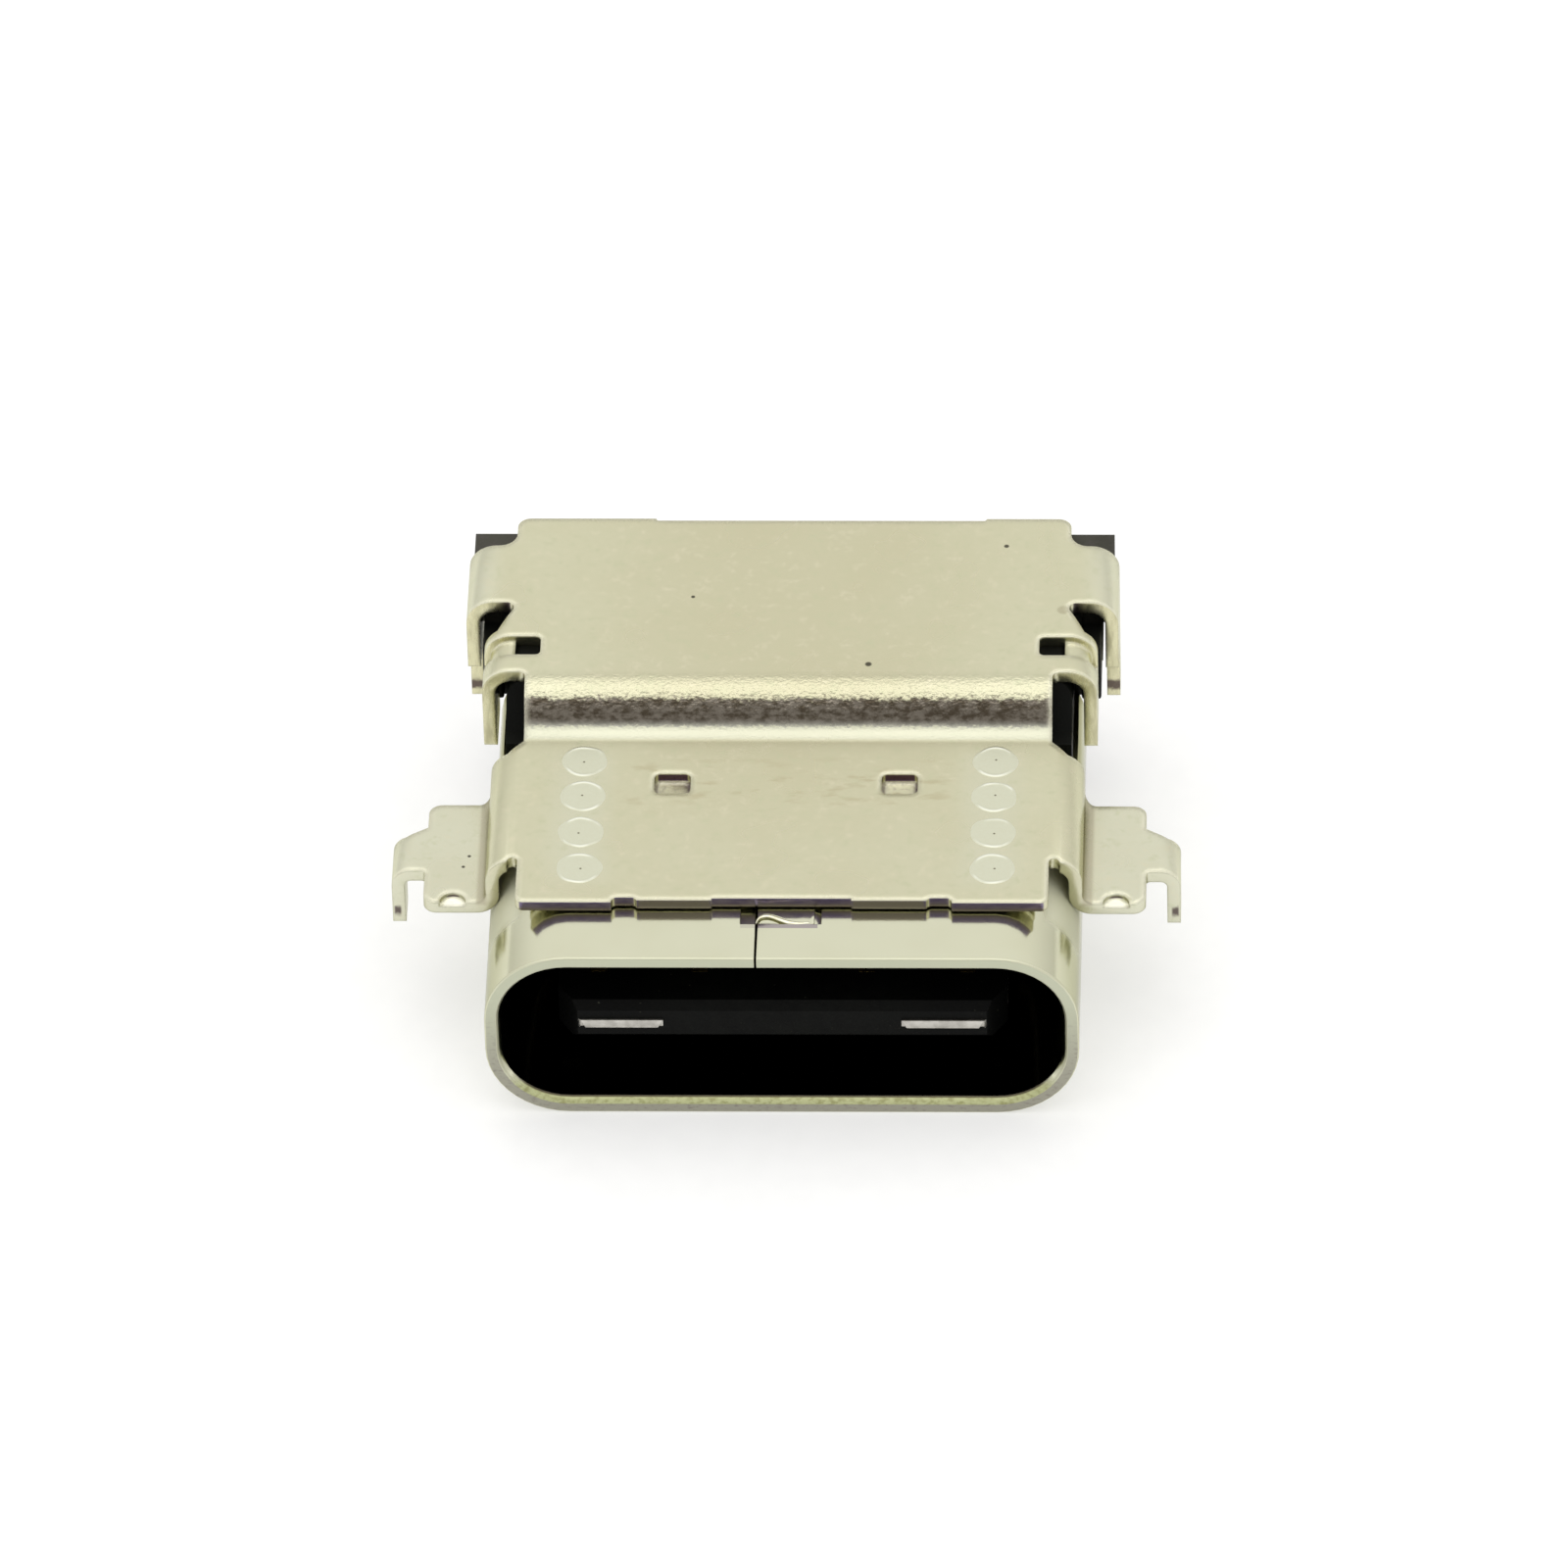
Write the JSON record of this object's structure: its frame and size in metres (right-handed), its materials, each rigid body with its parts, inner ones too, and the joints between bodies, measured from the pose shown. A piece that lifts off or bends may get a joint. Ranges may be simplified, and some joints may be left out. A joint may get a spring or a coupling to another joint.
{
  "type": "usb-c socket",
  "caption": "Mid-mount USB-C socket: rolled tube round a plastic tongue, under a stepped and folded sheet-metal cover with wings and legs for a circuit board.",
  "frame": {"origin": "centre of the plug opening, on the tube's front face", "axes": "+X across the plug opening, +Y the way a plug goes in, +Z away from the circuit board"},
  "size_m": [0.0118, 0.0093, 0.0038],
  "materials": {
    "cover_nickel": "satin nickel plate",
    "tube_nickel": "bright nickel plate",
    "black_plastic": "moulded matte",
    "carrier_plastic": "moulded matte",
    "latch_steel": "stamped steel",
    "contact_gold": "gold flash"
  },
  "bodies": {
    "root": {"cover_shell": "cover_nickel", "tube_shell": "tube_nickel", "housing": "black_plastic", "latch_plate": "latch_steel", "upper_ground_plate": "latch_steel", "lower_ground_plate": "latch_steel", "upper_carrier": "carrier_plastic", "lower_carrier": "carrier_plastic", "upper_contact_01": "contact_gold", "upper_contact_02": "contact_gold", "upper_contact_03": "contact_gold", "upper_contact_04": "contact_gold", "upper_contact_05": "contact_gold", "upper_contact_06": "contact_gold", "upper_contact_07": "contact_gold", "upper_contact_08": "contact_gold", "upper_contact_09": "contact_gold", "upper_contact_10": "contact_gold", "upper_contact_11": "contact_gold", "upper_contact_12": "contact_gold", "lower_contact_01": "contact_gold", "lower_contact_02": "contact_gold", "lower_contact_03": "contact_gold", "lower_contact_04": "contact_gold", "lower_contact_05": "contact_gold", "lower_contact_06": "contact_gold", "lower_contact_07": "contact_gold", "lower_contact_08": "contact_gold", "lower_contact_09": "contact_gold", "lower_contact_10": "contact_gold", "lower_contact_11": "contact_gold", "lower_contact_12": "contact_gold"}
  },
  "joints": []
}
